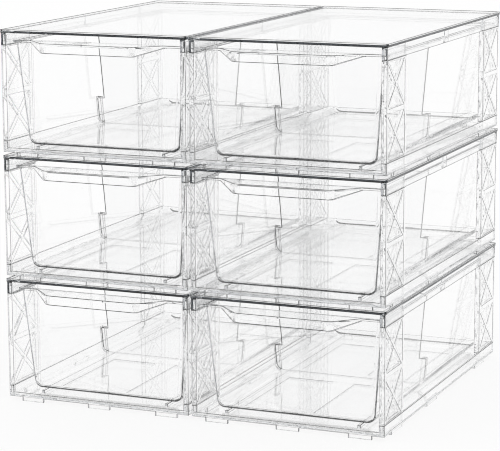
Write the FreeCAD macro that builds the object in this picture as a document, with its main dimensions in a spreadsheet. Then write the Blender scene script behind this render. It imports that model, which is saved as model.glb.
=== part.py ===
"""Clear stacking drawer boxes: two stacks of three, each box with a lid, a base, four posts and a drawer.

Every box is five mouldings. The base and the lid are trays with a slotted socket in each corner.
Four equal X-braced posts plug into those sockets. The drawer is a drafted tub with a bow-front pull,
and a divider plate drops between two channels on its side walls. The boxes stack on lugs, which stand
inside the raised rim of the lid below.

Frame: millimetres, +Z up, the front faces -Y. The origin is on the ground, under the middle of the set.
"""
import FreeCAD, Part
import math
import os
import re
import Sketcher

SIZES = {
    # Outline of one box and of the set
    "case_width": 184.0,
    "case_depth": 330.0,
    "stack_gap": 1.6,
    # Heights of the case, from the ground up
    "lug_height": 4.1,
    "base_rail_height": 10.3,
    "lid_rail_height": 11.0,
    "lid_thickness": 2.1,
    "rim_height": 1.2,
    # Lid and base trays
    "lid_lip": 0.8,
    "lid_corner": 2.0,
    "rim_width": 2.2,
    "rail_thickness": 2.0,
    "rail_band_height": 5.0,
    "rail_band_thickness": 3.2,
    "rail_rib_length": 10.0,
    "rail_rib_depth": 2.0,
    "floor_thickness": 2.3,
    "sill_gap": 0.7,
    "runner_width": 3.0,
    "runner_height": 2.6,
    "runner_inset": 29.0,
    "runner_end_gap": 14.0,
    "panel_end_gap": 39.0,
    "panel_side_gap": 6.5,
    "panel_depth": 1.0,
    "panel_rib": 22.0,
    "panel_cross_rib": 36.0,
    # Stacking lugs
    "lug_thickness": 3.0,
    "lug_clearance": 0.4,
    "front_lug_length": 22.0,
    "front_lug_inset": 24.0,
    "side_lug_length": 30.0,
    "side_lug_front": 40.0,
    "side_lug_middle": 26.0,
    "side_lug_rear": 42.0,
    # X-braced posts and the sockets that hold them
    "post_length": 50.0,
    "post_thickness": 5.0,
    "post_web": 1.6,
    "post_border": 3.4,
    "post_bar": 4.5,
    "brace_width": 3.2,
    "tongue_thickness": 1.8,
    "tongue_length": 44.0,
    "lid_tongue_height": 9.0,
    "base_tongue_height": 8.0,
    "tongue_clearance": 0.1,
    "tongue_end_clearance": 0.3,
    # Drawer
    "drawer_height": 96.4,
    "drawer_side_draft": 5.0,
    "drawer_front_draft": 4.0,
    "drawer_rear_draft": 1.5,
    "drawer_wall": 2.0,
    "drawer_floor": 2.2,
    "drawer_corner": 4.0,
    "drawer_edge": 8.0,
    "drawer_setback": 10.3,
    "drawer_side_clearance": 0.5,
    "drawer_rear_clearance": 0.6,
    "head_gap": 7.0,
    "flange_width": 2.2,
    "flange_thickness": 2.0,
    "pull_reach": 20.3,
    "pull_side_gap": 15.0,
    "pull_taper": 23.5,
    "pull_height": 9.0,
    "pull_wall": 2.0,
    "pull_corner": 10.0,
    # Divider and the channels that hold it
    "divider_thickness": 2.0,
    "divider_place": 160.0,
    "divider_top_gap": 8.0,
    "divider_clearance": 0.3,
    "divider_inset": 7.0,
    "channel_height": 25.5,
    "channel_reach": 4.5,
    "channel_wall": 1.6,
    "tab_drop": 1.0,
}

TIERS = ("lower", "middle", "upper")
STACKS = ("left", "right")

# Heights and places that several mouldings share, as formulas of the sizes
CASE_HALF = "(case_width / 2 - lid_lip)"
BACK = "(case_depth - lid_lip)"
FLOOR_TOP = "(lug_height + floor_thickness)"
DRAWER_UNDER = f"({FLOOR_TOP} + runner_height)"
DRAWER_RIM = f"({DRAWER_UNDER} + drawer_height)"
LID_UNDER = f"({DRAWER_RIM} + head_gap)"
LID_FIELD = f"({LID_UNDER} + lid_thickness)"
BASE_RAIL_TOP = "(lug_height + base_rail_height)"
POST_TOP = f"({LID_UNDER} - lid_rail_height)"
POST_HEIGHT = f"({POST_TOP} - {BASE_RAIL_TOP})"
RUNNER_MIDDLE = "(case_width / 2 - runner_inset)"
FLANGE_HALF = f"({CASE_HALF} - post_thickness - drawer_side_clearance)"
FLANGE_BACK = f"({BACK} - rail_thickness - drawer_rear_clearance)"
TUB_HALF = f"({FLANGE_HALF} - flange_width)"
TUB_FRONT = "(drawer_setback + flange_width)"
TUB_BACK = f"({FLANGE_BACK} - flange_width)"
CAVITY_HALF = f"({TUB_HALF} - drawer_wall)"
CAVITY_DEPTH = "(drawer_height - drawer_floor)"
CAVITY_FLOOR = f"({DRAWER_UNDER} + drawer_floor)"
SLOT_HALF = "(tongue_thickness / 2 + tongue_clearance)"
SLOT_REACH = "(tongue_length / 2 + tongue_end_clearance)"
POST_MIDDLE = f"({CASE_HALF} - post_thickness / 2)"

doc = FreeCAD.newDocument("stacking_drawers")
sheet = doc.addObject("Spreadsheet::Sheet", "Sizes")
for row, (alias, amount) in enumerate(SIZES.items(), start=1):
    sheet.set(f"A{row}", alias)
    sheet.set(f"B{row}", str(amount))
    sheet.setAlias(f"B{row}", alias)
doc.recompute()


def bound(formula):
    """The formula with each size replaced by its cell in the sheet."""
    return re.sub(r"[a-z_]+", lambda word: "Sizes." + word[0] if word[0] in SIZES else word[0], formula)


def moulding(name):
    """An empty body for one kind of moulding."""
    body = doc.addObject("PartDesign::Body", name)
    body.Label = name
    return body


def outline(body, plane, height, loops):
    """A sketch of closed straight-edged loops, parallel to an origin plane at a height above it.

    Each corner is a pair of formulas, its distances from the origin along the sketch's two axes.
    """
    origin_plane = next(part for part in body.Origin.OriginFeatures if part.Role == plane)
    sketch = body.newObject("Sketcher::SketchObject", body.Name + "_outline")
    sketch.AttachmentSupport = (origin_plane, [""])
    sketch.MapMode = "FlatFace"
    sketch.setExpression("AttachmentOffset.Base.z", bound(height))
    for corners in loops:
        first = sketch.GeometryCount
        count = len(corners)
        turn = 2 * math.pi / count
        ring = [FreeCAD.Vector(math.cos(turn * i), math.sin(turn * i), 0) for i in range(count)]
        for i in range(count):
            sketch.addGeometry(Part.LineSegment(ring[i], ring[(i + 1) % count]))
        for i in range(count):
            sketch.addConstraint(Sketcher.Constraint("Coincident", first + i, 2, first + (i + 1) % count, 1))
        for i, (across, along) in enumerate(corners):
            for kind, place, start in (("DistanceX", across, ring[i].x), ("DistanceY", along, ring[i].y)):
                held = sketch.addConstraint(Sketcher.Constraint(kind, -1, 1, first + i, 1, start))
                sketch.setExpression(f"Constraints[{held}]", bound(place))
    return sketch


def rectangle(left, right, low, high):
    """The four corners of a rectangle between two pairs of formulas."""
    return [(left, low), (right, low), (right, high), (left, high)]


def both_sides(corners):
    """A loop and its mirror image across the middle of the box."""
    return [corners, [(f"-({across})", along) for across, along in reversed(corners)]]


def all_quarters(corners):
    """A loop on the right of the front half, repeated on the left and, turned over, in the rear half."""
    rear = [(across, f"case_depth - ({along})") for across, along in reversed(corners)]
    return both_sides(corners) + both_sides(rear)


def raise_from(body, sketch, length, down=False):
    """A pad from a sketch, along its normal or against it."""
    pad = body.newObject("PartDesign::Pad", body.Name + "_pad")
    pad.Profile = sketch
    pad.setExpression("Length", bound(length))
    pad.Reversed = down
    doc.recompute()
    return pad


def sink_from(body, sketch, depth, up=False):
    """A pocket from a sketch, against its normal or along it, that has to take some volume away."""
    before = body.Shape.Volume
    pocket = body.newObject("PartDesign::Pocket", body.Name + "_pocket")
    pocket.Profile = sketch
    pocket.setExpression("Length", bound(depth))
    pocket.Reversed = up
    doc.recompute()
    if body.Shape.Volume >= before:
        raise RuntimeError(f"{pocket.Name} cuts nothing")
    return pocket


def loft_between(body, kind, low, high):
    """A loft with straight sides from a low sketch to a high one, added to the body or cut out of it."""
    loft = body.newObject(f"PartDesign::{kind}Loft", body.Name + "_loft")
    loft.Profile = low
    loft.Sections = [high]
    loft.Ruled = True
    doc.recompute()
    return loft


def round_edges(body, radius, chosen):
    """A fillet on every edge of the body whose bounding box passes the test."""
    solid = body.Tip
    names = [f"Edge{i}" for i, edge in enumerate(solid.Shape.Edges, start=1) if chosen(edge.BoundBox)]
    fillet = body.newObject("PartDesign::Fillet", body.Name + "_fillet")
    fillet.Base = (solid, names)
    fillet.setExpression("Radius", bound(radius))
    doc.recompute()
    return fillet


def same(first, second):
    """Whether two lengths agree to well under the thinnest wall."""
    return abs(first - second) < 0.01


def upright(box):
    """Whether an edge's bounding box is that of a vertical edge."""
    return box.ZLength > 1 and same(box.XLength, 0) and same(box.YLength, 0)


def spans(box, low, high):
    """Whether an edge's bounding box reaches from one height to another."""
    return same(box.ZMin, low) and same(box.ZMax, high)


def rail_plan(thickness):
    """The U of a tray's side and rear walls, open towards the front."""
    inner = f"{CASE_HALF} - {thickness}"
    outer_path = [(f"-{CASE_HALF}", "lid_lip"), (f"-{CASE_HALF}", BACK),
                  (CASE_HALF, BACK), (CASE_HALF, "lid_lip")]
    rear = f"{BACK} - {thickness}"
    inner_path = [(inner, "lid_lip"), (inner, rear), (f"-({inner})", rear), (f"-({inner})", "lid_lip")]
    return [outer_path + inner_path]


def socket_plan():
    """The four corner blocks of a tray, each as large as the post's foot."""
    inner = f"{CASE_HALF} - post_thickness"
    return all_quarters(rectangle(inner, CASE_HALF, "lid_lip", "lid_lip + post_length"))


def slot_plan():
    """The slots in the corner blocks, with clearance round the posts' tongues."""
    middle = "lid_lip + post_length / 2"
    return all_quarters(rectangle(f"{POST_MIDDLE} - {SLOT_HALF}", f"{POST_MIDDLE} + {SLOT_HALF}",
                                  f"{middle} - {SLOT_REACH}", f"{middle} + {SLOT_REACH}"))


def make_lid():
    """Top tray: a plate with a raised rim, stepped side and rear rails below it, and four sockets."""
    body = moulding("lid_moulding")
    plate = rectangle("-case_width / 2", "case_width / 2", "0", "case_depth")
    raise_from(body, outline(body, "XY_Plane", LID_UNDER, [plate]), "lid_thickness + rim_height")
    round_edges(body, "lid_corner", upright)
    field = rectangle("-case_width / 2 + rim_width", "case_width / 2 - rim_width",
                      "rim_width", "case_depth - rim_width")
    sink_from(body, outline(body, "XY_Plane", f"{LID_FIELD} + rim_height", [field]), "rim_height")
    rails = rail_plan("rail_thickness")
    raise_from(body, outline(body, "XY_Plane", LID_UNDER, rails), "lid_rail_height", down=True)
    band = rail_plan("rail_band_thickness")
    raise_from(body, outline(body, "XY_Plane", LID_UNDER, band), "rail_band_height", down=True)
    rail_inside = f"({CASE_HALF} - rail_thickness)"
    rib = rectangle(f"{rail_inside} - rail_rib_depth", rail_inside,
                    "case_depth / 2 - rail_rib_length / 2", "case_depth / 2 + rail_rib_length / 2")
    raise_from(body, outline(body, "XY_Plane", LID_UNDER, both_sides(rib)), "lid_rail_height", down=True)
    raise_from(body, outline(body, "XY_Plane", LID_UNDER, socket_plan()), "lid_rail_height", down=True)
    slot_depth = "lid_tongue_height + tongue_end_clearance"
    sink_from(body, outline(body, "XY_Plane", POST_TOP, slot_plan()), slot_depth, up=True)
    return body


def make_base():
    """Bottom tray: a floor with four sunk panels, rails, sockets, drawer runners and stacking lugs."""
    body = moulding("base_moulding")
    floor = rectangle(f"-{CASE_HALF}", CASE_HALF, "lid_lip", BACK)
    raise_from(body, outline(body, "XY_Plane", "lug_height", [floor]), "floor_thickness")
    panel_side = f"{RUNNER_MIDDLE} - runner_width / 2 - panel_side_gap"
    panel = rectangle("panel_rib / 2", panel_side, "panel_end_gap", "case_depth / 2 - panel_cross_rib / 2")
    sink_from(body, outline(body, "XY_Plane", FLOOR_TOP, all_quarters(panel)), "panel_depth")
    rails = rail_plan("rail_thickness")
    raise_from(body, outline(body, "XY_Plane", "lug_height", rails), "base_rail_height")
    sill = rectangle(f"-{CASE_HALF}", CASE_HALF, "lid_lip", "lid_lip + rail_thickness")
    sill_height = f"{DRAWER_UNDER} - sill_gap - lug_height"
    raise_from(body, outline(body, "XY_Plane", "lug_height", [sill]), sill_height)
    raise_from(body, outline(body, "XY_Plane", "lug_height", socket_plan()), "base_rail_height")
    slot_depth = "base_tongue_height + tongue_end_clearance"
    sink_from(body, outline(body, "XY_Plane", BASE_RAIL_TOP, slot_plan()), slot_depth)
    runner = rectangle(f"{RUNNER_MIDDLE} - runner_width / 2", f"{RUNNER_MIDDLE} + runner_width / 2",
                       "runner_end_gap", "case_depth - runner_end_gap")
    raise_from(body, outline(body, "XY_Plane", FLOOR_TOP, both_sides(runner)), "runner_height")
    raise_from(body, outline(body, "XY_Plane", "0", lug_plan()), "lug_height")
    return body


def lug_plan():
    """Three lugs along each edge, just inside the rim of the lid that the box stands on."""
    edge = "(rim_width + lug_clearance)"
    side_outer = f"(case_width / 2 - {edge})"
    loops = []
    for step in (-1, 0, 1):
        across = f"{step} * (case_width / 2 - front_lug_inset)"
        front = rectangle(f"{across} - front_lug_length / 2", f"{across} + front_lug_length / 2",
                          edge, f"{edge} + lug_thickness")
        loops.append(front)
        loops.append([(x, f"case_depth - ({y})") for x, y in reversed(front)])
    for along in ("side_lug_front", "case_depth / 2 - side_lug_middle", "case_depth - side_lug_rear"):
        side = rectangle(f"{side_outer} - lug_thickness", side_outer,
                         f"{along} - side_lug_length / 2", f"{along} + side_lug_length / 2")
        loops.extend(both_sides(side))
    return loops


def make_post():
    """Post panel with two braced fields: crossed ribs stand out from a thin web on the inner side."""
    body = moulding("post_moulding")
    panel = rectangle("-post_length / 2", "post_length / 2", "0", POST_HEIGHT)
    raise_from(body, outline(body, "YZ_Plane", "-post_thickness / 2", [panel]), "post_thickness")
    triangles = outline(body, "YZ_Plane", "post_thickness / 2", brace_plan())
    sink_from(body, triangles, "post_thickness - post_web")
    tongue = rectangle("-tongue_thickness / 2", "tongue_thickness / 2",
                       "-tongue_length / 2", "tongue_length / 2")
    raise_from(body, outline(body, "XY_Plane", POST_HEIGHT, [tongue]), "lid_tongue_height")
    raise_from(body, outline(body, "XY_Plane", "0", [tongue]), "base_tongue_height", down=True)
    return body


def brace_plan():
    """The four triangles between the crossed ribs, in the lower and the upper field of a post."""
    half_wide = "(post_length / 2 - post_border)"
    half_tall = f"(({POST_HEIGHT} - post_bar) / 4 - post_border / 4)"
    slant = f"sqrt({half_wide}^2 + {half_tall}^2)"
    # A rib of brace_width on the diagonal moves each triangle's corners in by these amounts
    in_wide = f"(brace_width / 2 * {slant} / {half_tall})"
    in_tall = f"(brace_width / 2 * {slant} / {half_wide})"
    loops = []
    for step in (-1, 1):
        centre = f"({POST_HEIGHT} / 2 + {step} * (post_bar / 2 + {half_tall}))"
        for way in ("-", ""):
            edge = f"{way}{half_wide}"
            loops.append([(edge, f"{centre} - {half_tall} + {in_tall}"),
                          (f"{way}{in_wide}", centre),
                          (edge, f"{centre} + {half_tall} - {in_tall}")])
        for way in ("-", "+"):
            edge = f"{centre} {way} {half_tall}"
            loops.append([(f"-{half_wide} + {in_wide}", edge),
                          (f"{half_wide} - {in_wide}", edge),
                          ("0", f"{centre} {way} {in_tall}")])
    return loops


def tub_plan(inset, depth):
    """The tub's outline at a depth below its rim, or the one inside it by the thickness of its wall."""
    half = f"({TUB_HALF} - {inset} - {depth} * tan(drawer_side_draft * 1deg))"
    front = f"{TUB_FRONT} + {inset} + {depth} * tan(drawer_front_draft * 1deg)"
    back = f"{TUB_BACK} - {inset} - {depth} * tan(drawer_rear_draft * 1deg)"
    return [rectangle(f"-{half}", half, front, back)]


def make_drawer():
    """Drafted tub with a flange round its rim, a hollow bow-front pull and two divider channels."""
    body = moulding("drawer_moulding")
    make_pull(body)
    tub_under = outline(body, "XY_Plane", DRAWER_UNDER, tub_plan("0", "drawer_height"))
    tub_rim = outline(body, "XY_Plane", DRAWER_RIM, tub_plan("0", "0"))
    loft_between(body, "Additive", tub_under, tub_rim)
    under, rim = body.Shape.BoundBox.ZMin, body.Shape.BoundBox.ZMax
    flange = rectangle(f"-{FLANGE_HALF}", FLANGE_HALF, "drawer_setback", FLANGE_BACK)
    raise_from(body, outline(body, "XY_Plane", DRAWER_RIM, [flange]), "flange_thickness", down=True)
    side = body.Shape.BoundBox.XMax
    cavity_floor = outline(body, "XY_Plane", CAVITY_FLOOR, tub_plan("drawer_wall", CAVITY_DEPTH))
    cavity_rim = outline(body, "XY_Plane", DRAWER_RIM, tub_plan("drawer_wall", "0"))
    loft_between(body, "Subtractive", cavity_floor, cavity_rim)
    # Inner edges are rounded before outer ones, so that the walls stay whole between them. In each round the
    # edges below the side walls come first, then the outlines of both ends, which run on up the corners
    for level, inset in ((under + sheet.drawer_floor, " - drawer_wall"), (under, "")):
        round_edges(body, "drawer_edge" + inset, lambda box: spans(box, level, level) and box.XLength < 1)
        round_edges(body, "drawer_corner" + inset, lambda box: spans(box, level, level) and box.YLength < 1)
    round_edges(body, "drawer_corner", lambda box: upright(box) and same(abs(box.Center.x), side))
    make_channels(body)
    return body


def pull_plan(inset, root):
    """The pull seen from above: a bow that narrows from the rim to its flat front."""
    front = f"drawer_setback - pull_reach + {inset}"
    root_half = f"({TUB_HALF} - pull_side_gap - {inset})"
    front_half = f"({TUB_HALF} - pull_side_gap - pull_taper - {inset})"
    return [(f"-{root_half}", root), (f"-{front_half}", front), (front_half, front), (root_half, root)]


def make_pull(body):
    """The bow-front pull: a plate level with the rim, and a skirt below it that slopes up to the tub."""
    skirt = f"({DRAWER_RIM} - pull_height)"
    root = f"{TUB_FRONT} + drawer_wall / 2"
    raise_from(body, outline(body, "XY_Plane", skirt, [pull_plan("0", root)]), "pull_height")
    front = body.Shape.BoundBox.YMin
    round_edges(body, "pull_corner", lambda box: upright(box) and same(box.YMax, front))
    sketch = outline(body, "XY_Plane", skirt, [pull_plan("pull_wall", root)])
    sink_from(body, sketch, "pull_height - pull_wall", up=True)
    hollow = front + sheet.pull_wall
    round_edges(body, "pull_corner - pull_wall", lambda box: upright(box) and same(box.YMax, hollow))
    slope = [("drawer_setback - pull_reach + pull_wall", skirt),
             (root, skirt),
             (root, f"{DRAWER_RIM} - pull_wall")]
    sink_from(body, outline(body, "YZ_Plane", f"-{TUB_HALF}", [slope]), f"2 * {TUB_HALF}", up=True)


def wall_inside(height):
    """Half the width between the tub's side walls at a height above its floor."""
    return f"({CAVITY_HALF} - ({CAVITY_DEPTH} - ({height})) * tan(drawer_side_draft * 1deg))"


def channel_plan(inside, outside, foot):
    """A strip up both side walls, between two distances in from the wall's face, cut off at its foot."""
    strip = [(f"{wall_inside('0')} - {inside}", CAVITY_FLOOR),
             (f"{wall_inside('0')} - {foot}", CAVITY_FLOOR),
             (f"{wall_inside(foot)} - {outside}", f"{CAVITY_FLOOR} + {foot}"),
             (f"{wall_inside('channel_height')} - {outside}", f"{CAVITY_FLOOR} + channel_height"),
             (f"{wall_inside('channel_height')} - {inside}", f"{CAVITY_FLOOR} + channel_height")]
    return both_sides(strip)


def make_channels(body):
    """Two upright channels on the tub's side walls, with a slot for the divider's tabs."""
    slot = "(divider_thickness + 2 * divider_clearance)"
    thick = f"({slot} + 2 * channel_wall)"
    rear = f"-(divider_place + {thick} / 2)"
    solid = channel_plan("channel_reach", "-drawer_wall / 2", "drawer_edge / 4")
    raise_from(body, outline(body, "XZ_Plane", rear, solid), thick)
    # The slot stays clear of the wall's own face and of the rounded edge below, so both keep their thickness
    cut = channel_plan("divider_inset", "0", "drawer_edge / 2")
    sink_from(body, outline(body, "XZ_Plane", f"-(divider_place + {slot} / 2)", cut), slot, up=True)


def make_divider():
    """Cross plate with a tab at each lower corner that stands in a channel."""
    body = moulding("divider_moulding")
    top = f"{CAVITY_DEPTH} - divider_top_gap"
    tab = "channel_height - tab_drop"
    right = [(f"{wall_inside('0')} - divider_clearance", CAVITY_FLOOR),
             (f"{wall_inside(tab)} - divider_clearance", f"{CAVITY_FLOOR} + {tab}"),
             (f"{wall_inside(tab)} - divider_inset", f"{CAVITY_FLOOR} + {tab}"),
             (f"{wall_inside(top)} - divider_inset", f"{CAVITY_FLOOR} + {top}")]
    left = [(f"-({across})", along) for across, along in reversed(right)]
    back_face = "-(divider_place + divider_thickness / 2)"
    raise_from(body, outline(body, "XZ_Plane", back_face, [right + left]), "divider_thickness")
    floor = body.Shape.BoundBox.ZMin
    thick = sheet.divider_thickness
    round_edges(body, "drawer_edge", lambda box: same(box.ZMax, floor) and same(box.YLength, thick))
    return body


def stand(moulding_body, label, x, y, z, turn=0):
    """One piece of the set: a moulding placed by formulas, turned about the vertical."""
    piece = doc.addObject("App::Link", label)
    piece.LinkedObject = moulding_body
    piece.Label = label
    piece.Placement = FreeCAD.Placement(FreeCAD.Vector(), FreeCAD.Rotation(FreeCAD.Vector(0, 0, 1), turn))
    for axis, place in (("x", x), ("y", y), ("z", z)):
        piece.setExpression(f"Placement.Base.{axis}", bound(place))
    return piece


def make_set():
    """Six boxes: two stacks side by side, three tiers high, centred on the origin."""
    lid, base, post = make_lid(), make_base(), make_post()
    drawer, divider = make_drawer(), make_divider()
    middle = "-(case_depth + drawer_setback - pull_reach) / 2"
    pieces = []
    for column, stack in enumerate(STACKS):
        across = f"({2 * column - 1} * (case_width + stack_gap) / 2)"
        for level, tier in enumerate(TIERS):
            up = f"({level} * {LID_FIELD})"
            box = f"{tier}_{stack}"
            for body, name in ((lid, "lid"), (base, "base"), (drawer, "drawer"), (divider, "divider")):
                pieces.append(stand(body, f"{box}_{name}", across, middle, up))
            for end, along in (("front", "lid_lip + post_length / 2"), ("rear", f"{BACK} - post_length / 2")):
                for side, sign, turn in (("left", "-", 180), ("right", "+", 0)):
                    pieces.append(stand(post, f"{box}_{end}_{side}_post", f"{across} {sign} {POST_MIDDLE}",
                                        f"{middle} + {along}", f"{up} + {BASE_RAIL_TOP}", turn))
    return pieces


pieces = make_set()
doc.recompute()
faulty = [thing.Name for thing in doc.Objects if "Invalid" in thing.State or "Error" in thing.State]
faulty += [piece.Label for piece in pieces if piece.Shape.isNull() or not piece.Shape.isValid()]
if faulty:
    raise RuntimeError("failed: " + ", ".join(faulty))
os.makedirs("parts", exist_ok=True)
for piece in pieces:
    piece.Shape.exportStep(f"parts/{piece.Label}.step")
print(f"{len(pieces)} pieces written")
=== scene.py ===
"""Clear stacking drawer boxes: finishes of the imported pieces, and a bright studio round them."""
import math

import bpy
import numpy as np
from mathutils import Matrix, Vector

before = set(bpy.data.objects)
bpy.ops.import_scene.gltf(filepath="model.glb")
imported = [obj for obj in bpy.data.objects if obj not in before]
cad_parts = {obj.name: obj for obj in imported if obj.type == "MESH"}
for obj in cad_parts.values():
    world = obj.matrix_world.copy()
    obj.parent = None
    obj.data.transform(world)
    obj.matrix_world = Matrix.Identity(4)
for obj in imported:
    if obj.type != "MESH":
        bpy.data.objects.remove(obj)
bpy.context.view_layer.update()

bl_info = {
    "name": "Clear stacking drawer boxes",
    "version": (1, 0, 0),
    "blender": (4, 5, 0),
    "location": "3D View > Sidebar > Drawer Boxes",
    "description": "Finishes clear moulded drawer boxes and sets a bright studio round them",
    "category": "Object",
}

# The picture's width in pixels, which turns a focal length in pixels into a lens
PICTURE_WIDTH = 500
SENSOR_WIDTH = 36.0
# Numbers stored on the meshes: how far an edge is rounded, and each face's painted brightness, where
# less is painted shade on rounded edges
EDGE_WEIGHT = "bevel_weight_edge"
PAINTED_TONE = "painted_edge_tone"
# Edges that stand out more sharply than this are rounded, in this many steps
LEAST_ANGLE = math.radians(40)
ROUND_STEPS = 2
# Corners of loose triangles this near each other are joined
JOIN_REACH = 1e-6
# A sharp edge counts as the lip when its height is right to this much
LIP_MARGIN = 0.0002
# A face belongs to a drawer's heel, which gets painted shade, when its normal leans this much both down
# and to an end
HEEL_SLANT = 0.4
# Touching pieces keep a film of air between them, as real mouldings do
AIR_FILM = 0.00002
# Dull patches of the plastic: how many in a metre, how fine, and the noise between which they fade in
SCUFF_SCALE = 120.0
SCUFF_DETAIL = 4.0
SCUFF_START, SCUFF_FULL = 0.5, 0.8
# Light crosses many walls of both stacks, and is led along inside them
BOUNCES = 128
CLEAR_BOUNCES = 48
# Width of the pixel filter, for the crisp lines of clear plastic
PIXEL_FILTER = 1.1


class ClearPlastic:
    """Sizes and colours that every clear moulding has."""

    tint: bpy.props.FloatVectorProperty(
        name="Tint", description="Colour that long paths through the plastic take on", subtype="COLOR",
        default=(0.62, 0.64, 0.66))
    refraction: bpy.props.FloatProperty(
        name="Refraction", description="Index of refraction of the plastic",
        default=1.5, min=1.0, max=2.0)
    haze: bpy.props.FloatProperty(
        name="Haze", description="Roughness of the dullest patches", default=0.015, min=0.0, max=1.0,
        subtype="FACTOR")
    flow_size: bpy.props.FloatProperty(
        name="Flow size", description="Distance between the waves left by the mould", default=0.05,
        unit="LENGTH")
    flow_depth: bpy.props.FloatProperty(
        name="Flow depth", description="Height of the waves left by the mould",
        default=0.000004, unit="LENGTH")


class LidPlastic(ClearPlastic, bpy.types.PropertyGroup):
    """Plastic of the lids, whose plates lead light along to their edges."""

    absorption: bpy.props.FloatProperty(
        name="Absorption", description="How fast a long path through a lid darkens",
        default=25.0, min=0.0)
    rounding: bpy.props.FloatProperty(
        name="Rounding", description="Width of the rounded edges", default=0.00035, unit="LENGTH")
    # Painted shade: colour of a lid's rounded edges, where 0 paints them black
    painted_edge_tone: bpy.props.FloatProperty(
        name="Painted edge tone", description="Light that a rounded edge of a lid lets through", default=0.0,
        min=0.0, max=1.0, subtype="FACTOR")
    lip_depth: bpy.props.FloatProperty(
        name="Lip depth", description="How far the lower lip of a lid lies below its top",
        default=0.0033, unit="LENGTH")
    lip_rounding: bpy.props.FloatProperty(
        name="Lip rounding", description="Width of the rounded lower lip of a lid",
        default=0.00075, unit="LENGTH")
    # Painted shade: colour of a lid's rounded lower lip, where 0 paints it black
    painted_lip_tone: bpy.props.FloatProperty(
        name="Painted lip tone", description="Light that the lower lip of a lid lets through", default=0.0,
        min=0.0, max=1.0, subtype="FACTOR")


class CasePlastic(ClearPlastic, bpy.types.PropertyGroup):
    """Plastic of the bases and posts."""

    absorption: bpy.props.FloatProperty(
        name="Absorption", description="How fast a long path through the case darkens",
        default=2.5, min=0.0)
    base_rounding: bpy.props.FloatProperty(
        name="Base rounding", description="Width of the rounded edges of a base", default=0.0004,
        unit="LENGTH")
    post_rounding: bpy.props.FloatProperty(
        name="Post rounding", description="Width of the rounded edges of a post", default=0.00035,
        unit="LENGTH")
    # Painted shade: colour of a base's rounded edges, nearly black
    painted_base_tone: bpy.props.FloatProperty(
        name="Painted base tone", description="Light that a rounded edge of a base lets through", default=0.01,
        min=0.0, max=1.0, subtype="FACTOR")
    # Painted shade: colour of a post's rounded edges, dark grey
    painted_post_tone: bpy.props.FloatProperty(
        name="Painted post tone", description="Light that a rounded edge of a post lets through", default=0.08,
        min=0.0, max=1.0, subtype="FACTOR")


class DrawerPlastic(ClearPlastic, bpy.types.PropertyGroup):
    """Plastic of the drawers."""

    absorption: bpy.props.FloatProperty(
        name="Absorption", description="How fast a long path through a drawer darkens",
        default=2.0, min=0.0)
    rounding: bpy.props.FloatProperty(
        name="Rounding", description="Width of the rounded edges", default=0.0004, unit="LENGTH")
    # Painted shade: colour of a drawer's rounded edges, where 0 paints them black
    painted_edge_tone: bpy.props.FloatProperty(
        name="Painted edge tone", description="Light that a rounded edge of a drawer lets through",
        default=0.0, min=0.0, max=1.0, subtype="FACTOR")
    # Painted shade: colour of the down-facing roundings at a drawer's ends, nearly black
    painted_heel_tone: bpy.props.FloatProperty(
        name="Painted heel tone", description="Light that the roundings below a drawer's ends let through",
        default=0.02, min=0.0, max=1.0, subtype="FACTOR")


class DividerPlastic(ClearPlastic, bpy.types.PropertyGroup):
    """Plastic of the dividers."""

    absorption: bpy.props.FloatProperty(
        name="Absorption", description="How fast a long path through a divider darkens",
        default=50.0, min=0.0)
    rounding: bpy.props.FloatProperty(
        name="Rounding", description="Width of the rounded edges", default=0.0005, unit="LENGTH")
    # Painted shade: colour of a divider's rounded edges, where 0 paints them black
    painted_edge_tone: bpy.props.FloatProperty(
        name="Painted edge tone", description="Light that a rounded edge of a divider lets through",
        default=0.0, min=0.0, max=1.0, subtype="FACTOR")
    foot_depth: bpy.props.FloatProperty(
        name="Foot depth", description="How far the foot of a divider lies below its top",
        default=0.0862, unit="LENGTH")
    foot_margin: bpy.props.FloatProperty(
        name="Foot margin", description="Half the height over which a divider counts as its foot",
        default=0.0008, unit="LENGTH")
    # Painted shade: colour of a divider's rounded foot, lighter than its other edges
    painted_foot_tone: bpy.props.FloatProperty(
        name="Painted foot tone", description="Light that the rounded foot of a divider lets through",
        default=0.6, min=0.0, max=1.0, subtype="FACTOR")


class StudioSettings(bpy.types.PropertyGroup):
    """Floor, light and camera of the studio."""

    floor_colour: bpy.props.FloatVectorProperty(
        name="Floor", description="Colour of the floor", subtype="COLOR", default=(0.95, 0.95, 0.95))
    floor_glow: bpy.props.FloatProperty(
        name="Floor glow", description="Share of the floor that shows as plain white behind the set",
        default=0.9, min=0.0, max=1.0, subtype="FACTOR")
    floor_radius: bpy.props.FloatProperty(
        name="Floor radius", description="Distance from the middle to the floor's edge", default=14.0,
        unit="LENGTH")
    sky_strength: bpy.props.FloatProperty(
        name="Sky", description="Brightness of the white room round the set", default=1.0, min=0.0)
    focal_pixels: bpy.props.FloatProperty(
        name="Focal length in pixels", description="Focal length for a picture of the stated width",
        default=2142.3)
    camera_place: bpy.props.FloatVectorProperty(
        name="Camera", description="Where the camera stands", subtype="TRANSLATION", unit="LENGTH",
        default=(0.772, -1.846, 0.5295))
    camera_pitch: bpy.props.FloatProperty(
        name="Pitch", description="How far the camera looks down", subtype="ANGLE",
        default=math.radians(10.7455))
    camera_yaw: bpy.props.FloatProperty(
        name="Yaw", description="How far the camera is turned to the left", subtype="ANGLE",
        default=math.radians(22.9166))
    camera_roll: bpy.props.FloatProperty(
        name="Roll", description="How far the camera leans about its view", subtype="ANGLE",
        default=math.radians(0.2263))


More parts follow.
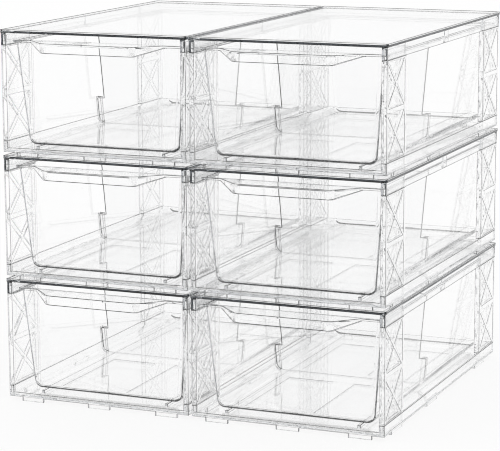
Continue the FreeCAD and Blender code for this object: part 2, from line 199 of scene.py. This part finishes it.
class BoxSettings(bpy.types.PropertyGroup):
    """All settings of the set."""

    lid: bpy.props.PointerProperty(type=LidPlastic)
    case: bpy.props.PointerProperty(type=CasePlastic)
    drawer: bpy.props.PointerProperty(type=DrawerPlastic)
    divider: bpy.props.PointerProperty(type=DividerPlastic)
    studio: bpy.props.PointerProperty(type=StudioSettings)


def nodes_named(*endings):
    """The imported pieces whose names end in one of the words."""
    return [piece for name, piece in sorted(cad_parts.items()) if name.endswith(endings)]


def node_group(name):
    """An empty geometry group with one geometry in and one out, and its first and last node."""
    tree = bpy.data.node_groups.new(name, "GeometryNodeTree")
    tree.interface.new_socket("Geometry", in_out="INPUT", socket_type="NodeSocketGeometry")
    tree.interface.new_socket("Geometry", in_out="OUTPUT", socket_type="NodeSocketGeometry")
    return tree, tree.nodes.new("NodeGroupInput"), tree.nodes.new("NodeGroupOutput")


def lip_finder(tree, geometry, depth, margin):
    """A socket that is true where the surface lies the depth below the top, within the margin."""
    extent = tree.nodes.new("GeometryNodeBoundBox")
    place = tree.nodes.new("GeometryNodeInputPosition")
    below = tree.nodes.new("ShaderNodeVectorMath")
    below.operation = "SUBTRACT"
    height = tree.nodes.new("ShaderNodeSeparateXYZ")
    lip = tree.nodes.new("FunctionNodeCompare")
    lip.data_type = "FLOAT"
    lip.operation = "EQUAL"
    lip.inputs["B"].default_value = depth
    lip.inputs["Epsilon"].default_value = margin
    tree.links.new(geometry, extent.inputs["Geometry"])
    tree.links.new(extent.outputs["Max"], below.inputs[0])
    tree.links.new(place.outputs["Position"], below.inputs[1])
    tree.links.new(below.outputs["Vector"], height.inputs["Vector"])
    tree.links.new(height.outputs["Z"], lip.inputs["A"])
    return lip.outputs["Result"]


def choose(tree, where, otherwise, there):
    """A socket that holds one number where the condition is met, and another elsewhere."""
    pick = tree.nodes.new("GeometryNodeSwitch")
    pick.input_type = "FLOAT"
    pick.inputs["False"].default_value = otherwise
    pick.inputs["True"].default_value = there
    tree.links.new(where, pick.inputs["Switch"])
    return pick


def store_number(tree, geometry, name, domain, value):
    """Stores a number under a name on every edge or face, and returns the geometry that holds it."""
    store = tree.nodes.new("GeometryNodeStoreNamedAttribute")
    store.data_type = "FLOAT"
    store.domain = domain
    store.inputs["Name"].default_value = name
    tree.links.new(geometry, store.inputs["Geometry"])
    tree.links.new(value, store.inputs["Value"])
    return store.outputs["Geometry"]


def outer_edges(name, fine_share=1.0, lip_depth=0.0):
    """A group that weighs the sharp edges which stand out: the lip by 1, others by the fine share."""
    tree, start, end = node_group(name)
    angle = tree.nodes.new("GeometryNodeInputMeshEdgeAngle")
    sharp = tree.nodes.new("FunctionNodeCompare")
    sharp.data_type = "FLOAT"
    sharp.operation = "GREATER_THAN"
    sharp.inputs["B"].default_value = LEAST_ANGLE
    tree.links.new(angle.outputs["Signed Angle"], sharp.inputs["A"])
    lip = lip_finder(tree, start.outputs[0], lip_depth, LIP_MARGIN)
    share = choose(tree, lip, fine_share, 1.0)
    weight = choose(tree, sharp.outputs["Result"], 0.0, 1.0)
    tree.links.new(share.outputs["Output"], weight.inputs["True"])
    weighed = store_number(tree, start.outputs[0], EDGE_WEIGHT, "EDGE", weight.outputs["Output"])
    tree.links.new(weighed, end.inputs[0])
    return tree


def heel_finder(tree):
    """A socket that is true on faces that look down at a slant towards the front or the rear."""
    facing = tree.nodes.new("GeometryNodeInputNormal")
    parts = tree.nodes.new("ShaderNodeSeparateXYZ")
    along = tree.nodes.new("ShaderNodeMath")
    along.operation = "ABSOLUTE"
    ends = tree.nodes.new("FunctionNodeCompare")
    ends.operation = "GREATER_THAN"
    ends.inputs["B"].default_value = HEEL_SLANT
    down = tree.nodes.new("FunctionNodeCompare")
    down.operation = "LESS_THAN"
    down.inputs["B"].default_value = -HEEL_SLANT
    both = tree.nodes.new("FunctionNodeBooleanMath")
    both.operation = "AND"
    tree.links.new(facing.outputs["Normal"], parts.inputs["Vector"])
    tree.links.new(parts.outputs["Y"], along.inputs[0])
    tree.links.new(along.outputs[0], ends.inputs["A"])
    tree.links.new(parts.outputs["Z"], down.inputs["A"])
    tree.links.new(ends.outputs["Result"], both.inputs[0])
    tree.links.new(down.outputs["Result"], both.inputs[1])
    return both.outputs[0]


def painted_edge_tones(name, painted_edge_tone, painted_lip_tone=0.0, lip_depth=0.0, lip_margin=0.0, painted_heel_tone=1.0):
    """A group that stores each face's painted brightness: 1 where it is plain, less where rounded, as
    painted shade.
    """
    tree, start, end = node_group(name)
    slot = tree.nodes.new("GeometryNodeInputMaterialIndex")
    lip = lip_finder(tree, start.outputs[0], lip_depth, lip_margin)
    edge = choose(tree, lip, painted_edge_tone, painted_lip_tone)
    # Faces in slot 1 are the rounded ones and get painted shade; plain faces keep 1
    light = choose(tree, slot.outputs[0], 1.0, 0.0)
    tree.links.new(edge.outputs["Output"], light.inputs["True"])
    if painted_heel_tone < 1.0:
        # Heel faces get painted shade too
        heel = choose(tree, heel_finder(tree), 1.0, painted_heel_tone)
        tree.links.new(heel.outputs["Output"], light.inputs["False"])
    with_tones = store_number(tree, start.outputs[0], PAINTED_TONE, "FACE", light.outputs["Output"])
    join = tree.nodes.new("GeometryNodeSetMaterialIndex")
    join.inputs["Material Index"].default_value = 0
    tree.links.new(with_tones, join.inputs["Geometry"])
    tree.links.new(join.outputs["Geometry"], end.inputs[0])
    return tree


def dress(pieces, material, rounding, weights, painted_tone_group):
    """Gives every piece the one finish, rounds the sharp edges that stand out, and stores painted shade
    on them.
    """
    for piece in pieces:
        piece.data.materials.clear()
        piece.data.materials.append(material)
        piece.data.materials.append(material)
        weld = piece.modifiers.new("joined_faces", "WELD")
        weld.merge_threshold = JOIN_REACH
        weigh = piece.modifiers.new("outer_edges", "NODES")
        weigh.node_group = weights
        rounded = piece.modifiers.new("rounded_edges", "BEVEL")
        rounded.width = rounding
        rounded.segments = ROUND_STEPS
        rounded.limit_method = "WEIGHT"
        rounded.use_clamp_overlap = False
        rounded.harden_normals = True
        # The rounded faces go to slot 1, and the next group paints shade on them by that slot
        rounded.material = 1
        light = piece.modifiers.new("painted_edge_tones", "NODES")
        light.node_group = painted_tone_group
        film = piece.modifiers.new("film_of_air", "DISPLACE")
        film.mid_level = 0.0
        film.strength = -AIR_FILM


def clear_plastic(name, finish):
    """Clear polished plastic with faint flow waves, dull patches, a tint that grows with depth, and
    painted shade on rounded edges.
    """
    material = bpy.data.materials.new(name)
    material.use_nodes = True
    tree = material.node_tree
    shader = tree.nodes["Principled BSDF"]
    shader.inputs["Transmission Weight"].default_value = 1.0
    shader.inputs["IOR"].default_value = finish.refraction
    place = tree.nodes.new("ShaderNodeTexCoord")
    scuffs = tree.nodes.new("ShaderNodeTexNoise")
    scuffs.inputs["Scale"].default_value = SCUFF_SCALE
    scuffs.inputs["Detail"].default_value = SCUFF_DETAIL
    dull = tree.nodes.new("ShaderNodeMapRange")
    dull.inputs["From Min"].default_value = SCUFF_START
    dull.inputs["From Max"].default_value = SCUFF_FULL
    dull.inputs["To Min"].default_value = 0.0
    dull.inputs["To Max"].default_value = finish.haze
    flow = tree.nodes.new("ShaderNodeTexNoise")
    flow.inputs["Scale"].default_value = 1.0 / finish.flow_size
    waves = tree.nodes.new("ShaderNodeBump")
    waves.inputs["Strength"].default_value = 1.0
    waves.inputs["Distance"].default_value = finish.flow_depth
    tree.links.new(place.outputs["Object"], scuffs.inputs["Vector"])
    tree.links.new(place.outputs["Object"], flow.inputs["Vector"])
    tree.links.new(scuffs.outputs["Fac"], dull.inputs["Value"])
    tree.links.new(dull.outputs["Result"], shader.inputs["Roughness"])
    tree.links.new(flow.outputs["Fac"], waves.inputs["Height"])
    tree.links.new(waves.outputs["Normal"], shader.inputs["Normal"])
    # Base colour from each face's stored brightness: painted shade on the rounded edges
    share = tree.nodes.new("ShaderNodeAttribute")
    share.attribute_name = PAINTED_TONE
    tree.links.new(share.outputs["Fac"], shader.inputs["Base Color"])
    depth = tree.nodes.new("ShaderNodeVolumeAbsorption")
    depth.inputs["Color"].default_value = (*finish.tint, 1.0)
    depth.inputs["Density"].default_value = finish.absorption
    output = tree.nodes["Material Output"]
    tree.links.new(depth.outputs["Volume"], output.inputs["Volume"])
    return material


class DRAWERBOX_OT_lids(bpy.types.Operator):
    """Finish the lids in clear plastic with a round lower lip"""

    bl_idname = "drawerbox.lids"
    bl_label = "Finish Lids"

    def execute(self, context):
        finish = context.scene.drawer_boxes.lid
        dress(nodes_named("_lid"), clear_plastic("clear_lid_plastic", finish), finish.lip_rounding,
              outer_edges("lid_edges", finish.rounding / finish.lip_rounding, finish.lip_depth),
              painted_edge_tones("lid_painted_tones", finish.painted_edge_tone, finish.painted_lip_tone, finish.lip_depth,
                          finish.lip_rounding))
        return {"FINISHED"}


class DRAWERBOX_OT_cases(bpy.types.Operator):
    """Finish the bases and posts in clear plastic"""

    bl_idname = "drawerbox.cases"
    bl_label = "Finish Bases and Posts"

    def execute(self, context):
        finish = context.scene.drawer_boxes.case
        plastic = clear_plastic("clear_case_plastic", finish)
        edges = outer_edges("case_edges")
        dress(nodes_named("_base"), plastic, finish.base_rounding, edges,
              painted_edge_tones("base_painted_tones", finish.painted_base_tone))
        dress(nodes_named("_post"), plastic, finish.post_rounding, edges,
              painted_edge_tones("post_painted_tones", finish.painted_post_tone))
        return {"FINISHED"}


class DRAWERBOX_OT_drawers(bpy.types.Operator):
    """Finish the drawers in clear plastic"""

    bl_idname = "drawerbox.drawers"
    bl_label = "Finish Drawers"

    def execute(self, context):
        finish = context.scene.drawer_boxes.drawer
        dress(nodes_named("_drawer"), clear_plastic("clear_drawer_plastic", finish), finish.rounding,
              outer_edges("drawer_edges"),
              painted_edge_tones("drawer_painted_tones", finish.painted_edge_tone, painted_heel_tone=finish.painted_heel_tone))
        return {"FINISHED"}


class DRAWERBOX_OT_dividers(bpy.types.Operator):
    """Finish the dividers in clear plastic"""

    bl_idname = "drawerbox.dividers"
    bl_label = "Finish Dividers"

    def execute(self, context):
        finish = context.scene.drawer_boxes.divider
        dress(nodes_named("_divider"), clear_plastic("clear_divider_plastic", finish), finish.rounding,
              outer_edges("divider_edges"),
              painted_edge_tones("divider_painted_tones", finish.painted_edge_tone, finish.painted_foot_tone, finish.foot_depth,
                          finish.foot_margin))
        return {"FINISHED"}


def floor_disc(radius, rings=24, spokes=96):
    """A flat disc on a polar grid: x = r cos a, y = r sin a, z = 0, where r is its step squared."""
    step = np.linspace(0.0, 1.0, rings)[:, None] ** 2
    angle = np.linspace(0.0, 2.0 * np.pi, spokes, endpoint=False)[None, :]
    across = radius * step * np.cos(angle)
    along = radius * step * np.sin(angle)
    points = np.stack([across, along, np.zeros_like(across)], axis=-1)[1:].reshape(-1, 3)
    ring, spoke = np.meshgrid(np.arange(rings - 2), np.arange(spokes), indexing="ij")
    turned = (spoke + 1) % spokes
    quads = np.stack([ring * spokes + spoke, (ring + 1) * spokes + spoke,
                      (ring + 1) * spokes + turned, ring * spokes + turned], axis=-1).reshape(-1, 4)
    faces = quads.tolist() + [list(range(spokes))]
    return points.tolist(), faces


class DRAWERBOX_OT_stage(bpy.types.Operator):
    """Set the floor, the white room and the camera"""

    bl_idname = "drawerbox.stage"
    bl_label = "Set Stage"

    def execute(self, context):
        studio = context.scene.drawer_boxes.studio
        self.floor(context, studio)
        self.room(context, studio)
        self.camera(context, studio)
        self.look(context)
        return {"FINISHED"}

    def floor(self, context, studio):
        """A wide pale floor under the set."""
        mesh = bpy.data.meshes.new("studio_floor")
        points, faces = floor_disc(studio.floor_radius)
        mesh.from_pydata(points, [], faces)
        floor = bpy.data.objects.new("studio_floor", mesh)
        context.scene.collection.objects.link(floor)
        paper = bpy.data.materials.new("studio_paper")
        paper.use_nodes = True
        shader = paper.node_tree.nodes["Principled BSDF"]
        shader.inputs["Base Color"].default_value = (*studio.floor_colour, 1.0)
        shader.inputs["Roughness"].default_value = 1.0
        shader.inputs["Specular IOR Level"].default_value = 0.0
        self.glow(paper.node_tree, shader, studio)
        mesh.materials.append(paper)

    def glow(self, tree, shader, studio):
        """Shows most of the floor as plain white, also through plastic; the rest keeps the shadow."""
        ray = tree.nodes.new("ShaderNodeLightPath")
        seen = ray.outputs["Is Camera Ray"]
        for kind in ("Is Glossy Ray", "Is Transmission Ray"):
            either = tree.nodes.new("ShaderNodeMath")
            either.operation = "MAXIMUM"
            tree.links.new(seen, either.inputs[0])
            tree.links.new(ray.outputs[kind], either.inputs[1])
            seen = either.outputs[0]
        share = tree.nodes.new("ShaderNodeMath")
        share.operation = "MULTIPLY"
        share.inputs[1].default_value = studio.floor_glow
        white = tree.nodes.new("ShaderNodeEmission")
        mix = tree.nodes.new("ShaderNodeMixShader")
        tree.links.new(seen, share.inputs[0])
        tree.links.new(share.outputs[0], mix.inputs["Fac"])
        tree.links.new(shader.outputs[0], mix.inputs[1])
        tree.links.new(white.outputs[0], mix.inputs[2])
        tree.links.new(mix.outputs[0], tree.nodes["Material Output"].inputs["Surface"])

    def room(self, context, studio):
        """A white room all round, as bright as a strength of one shows white."""
        world = bpy.data.worlds.new("studio_room")
        world.use_nodes = True
        background = world.node_tree.nodes["Background"]
        background.inputs["Color"].default_value = (1.0, 1.0, 1.0, 1.0)
        background.inputs["Strength"].default_value = studio.sky_strength
        context.scene.world = world

    def camera(self, context, studio):
        """The photograph's viewpoint: turned left, looking a little down."""
        data = bpy.data.cameras.new("studio_camera")
        data.sensor_width = SENSOR_WIDTH
        data.lens = studio.focal_pixels / PICTURE_WIDTH * SENSOR_WIDTH
        camera = bpy.data.objects.new("studio_camera", data)
        turn = Matrix.Rotation(studio.camera_yaw, 4, "Z")
        tip = Matrix.Rotation(math.pi / 2 - studio.camera_pitch, 4, "X")
        lean = Matrix.Rotation(-studio.camera_roll, 4, "Z")
        camera.matrix_world = Matrix.Translation(Vector(studio.camera_place)) @ turn @ tip @ lean
        context.scene.collection.objects.link(camera)
        context.scene.camera = camera

    def look(self, context):
        """Plain view colours, crisp pixels, and bounces enough to cross every wall of both stacks."""
        context.scene.view_settings.view_transform = "Standard"
        cycles = context.scene.cycles
        cycles.max_bounces = BOUNCES
        cycles.transmission_bounces = BOUNCES
        cycles.glossy_bounces = BOUNCES
        cycles.transparent_max_bounces = CLEAR_BOUNCES
        cycles.filter_width = PIXEL_FILTER


class DRAWERBOX_PT_panel(bpy.types.Panel):
    """Lists the settings and the steps in the sidebar"""

    bl_label = "Drawer Boxes"
    bl_idname = "DRAWERBOX_PT_panel"
    bl_space_type = "VIEW_3D"
    bl_region_type = "UI"
    bl_category = "Drawer Boxes"

    def draw(self, context):
        settings = context.scene.drawer_boxes
        for step in STEPS:
            self.layout.operator(step.bl_idname)
        for group in (settings.lid, settings.case, settings.drawer, settings.divider, settings.studio):
            box = self.layout.box()
            for name in group.bl_rna.properties.keys():
                if name not in ("rna_type", "name"):
                    box.prop(group, name)


SETTINGS = (LidPlastic, CasePlastic, DrawerPlastic, DividerPlastic, StudioSettings, BoxSettings)
STEPS = (DRAWERBOX_OT_lids, DRAWERBOX_OT_cases, DRAWERBOX_OT_drawers, DRAWERBOX_OT_dividers,
         DRAWERBOX_OT_stage)
CLASSES = SETTINGS + STEPS + (DRAWERBOX_PT_panel,)


def register():
    """Registers every class, and the settings on the scene."""
    for kind in CLASSES:
        bpy.utils.register_class(kind)
    bpy.types.Scene.drawer_boxes = bpy.props.PointerProperty(type=BoxSettings)


def unregister():
    """Takes the settings and the classes away again."""
    del bpy.types.Scene.drawer_boxes
    for kind in reversed(CLASSES):
        bpy.utils.unregister_class(kind)


def main():
    """Finishes every piece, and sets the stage."""
    register()
    bpy.ops.drawerbox.lids()
    bpy.ops.drawerbox.cases()
    bpy.ops.drawerbox.drawers()
    bpy.ops.drawerbox.dividers()
    bpy.ops.drawerbox.stage()


if __name__ == "__main__":
    main()
